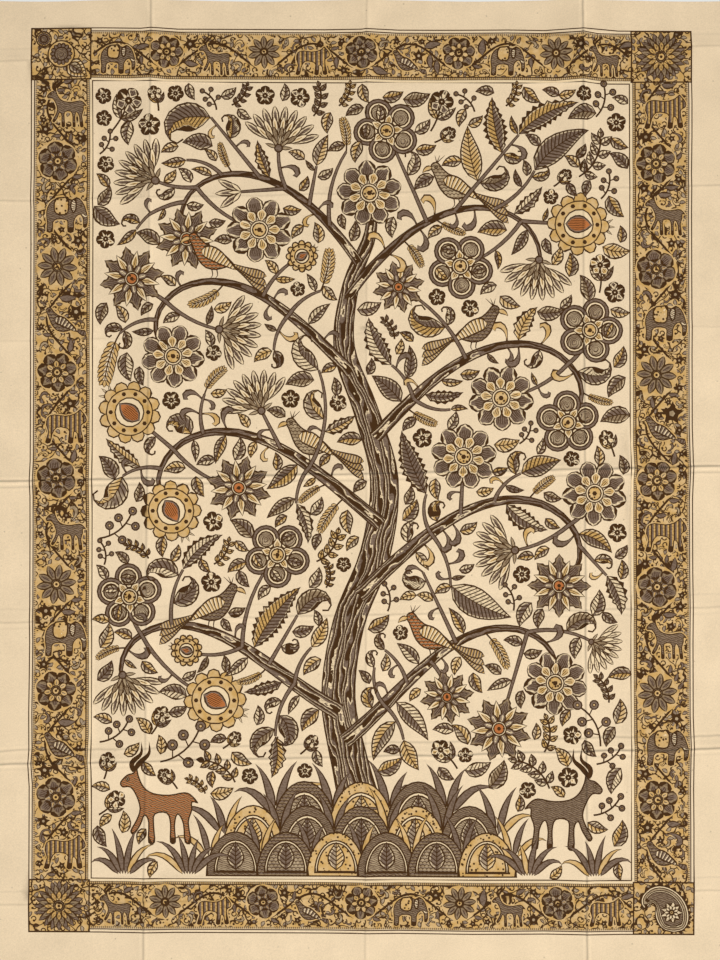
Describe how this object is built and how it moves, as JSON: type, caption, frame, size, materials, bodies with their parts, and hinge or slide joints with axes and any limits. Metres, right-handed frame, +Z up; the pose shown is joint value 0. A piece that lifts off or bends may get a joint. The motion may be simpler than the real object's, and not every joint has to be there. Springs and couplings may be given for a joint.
{
  "type": "kalamkari panel",
  "caption": "Printed cotton panel, a flat single sheet with fold creases, laid out as a cover or hung as a wall cloth.",
  "frame": {"origin": "under the middle of the cloth, on the surface that it lies on", "axes": "+Z up, out of the printed face; +Y from the foot of the print to its head; +X from the left selvedge to the right one"},
  "size_m": [1.524, 1.81, 0.0119],
  "materials": {
    "printed_cotton": "unbleached plain-weave cotton, hand-dyed print in iron black, iron grey, ochre and madder rust, matte"
  },
  "bodies": {
    "root": {"cloth": "printed_cotton"}
  },
  "joints": []
}
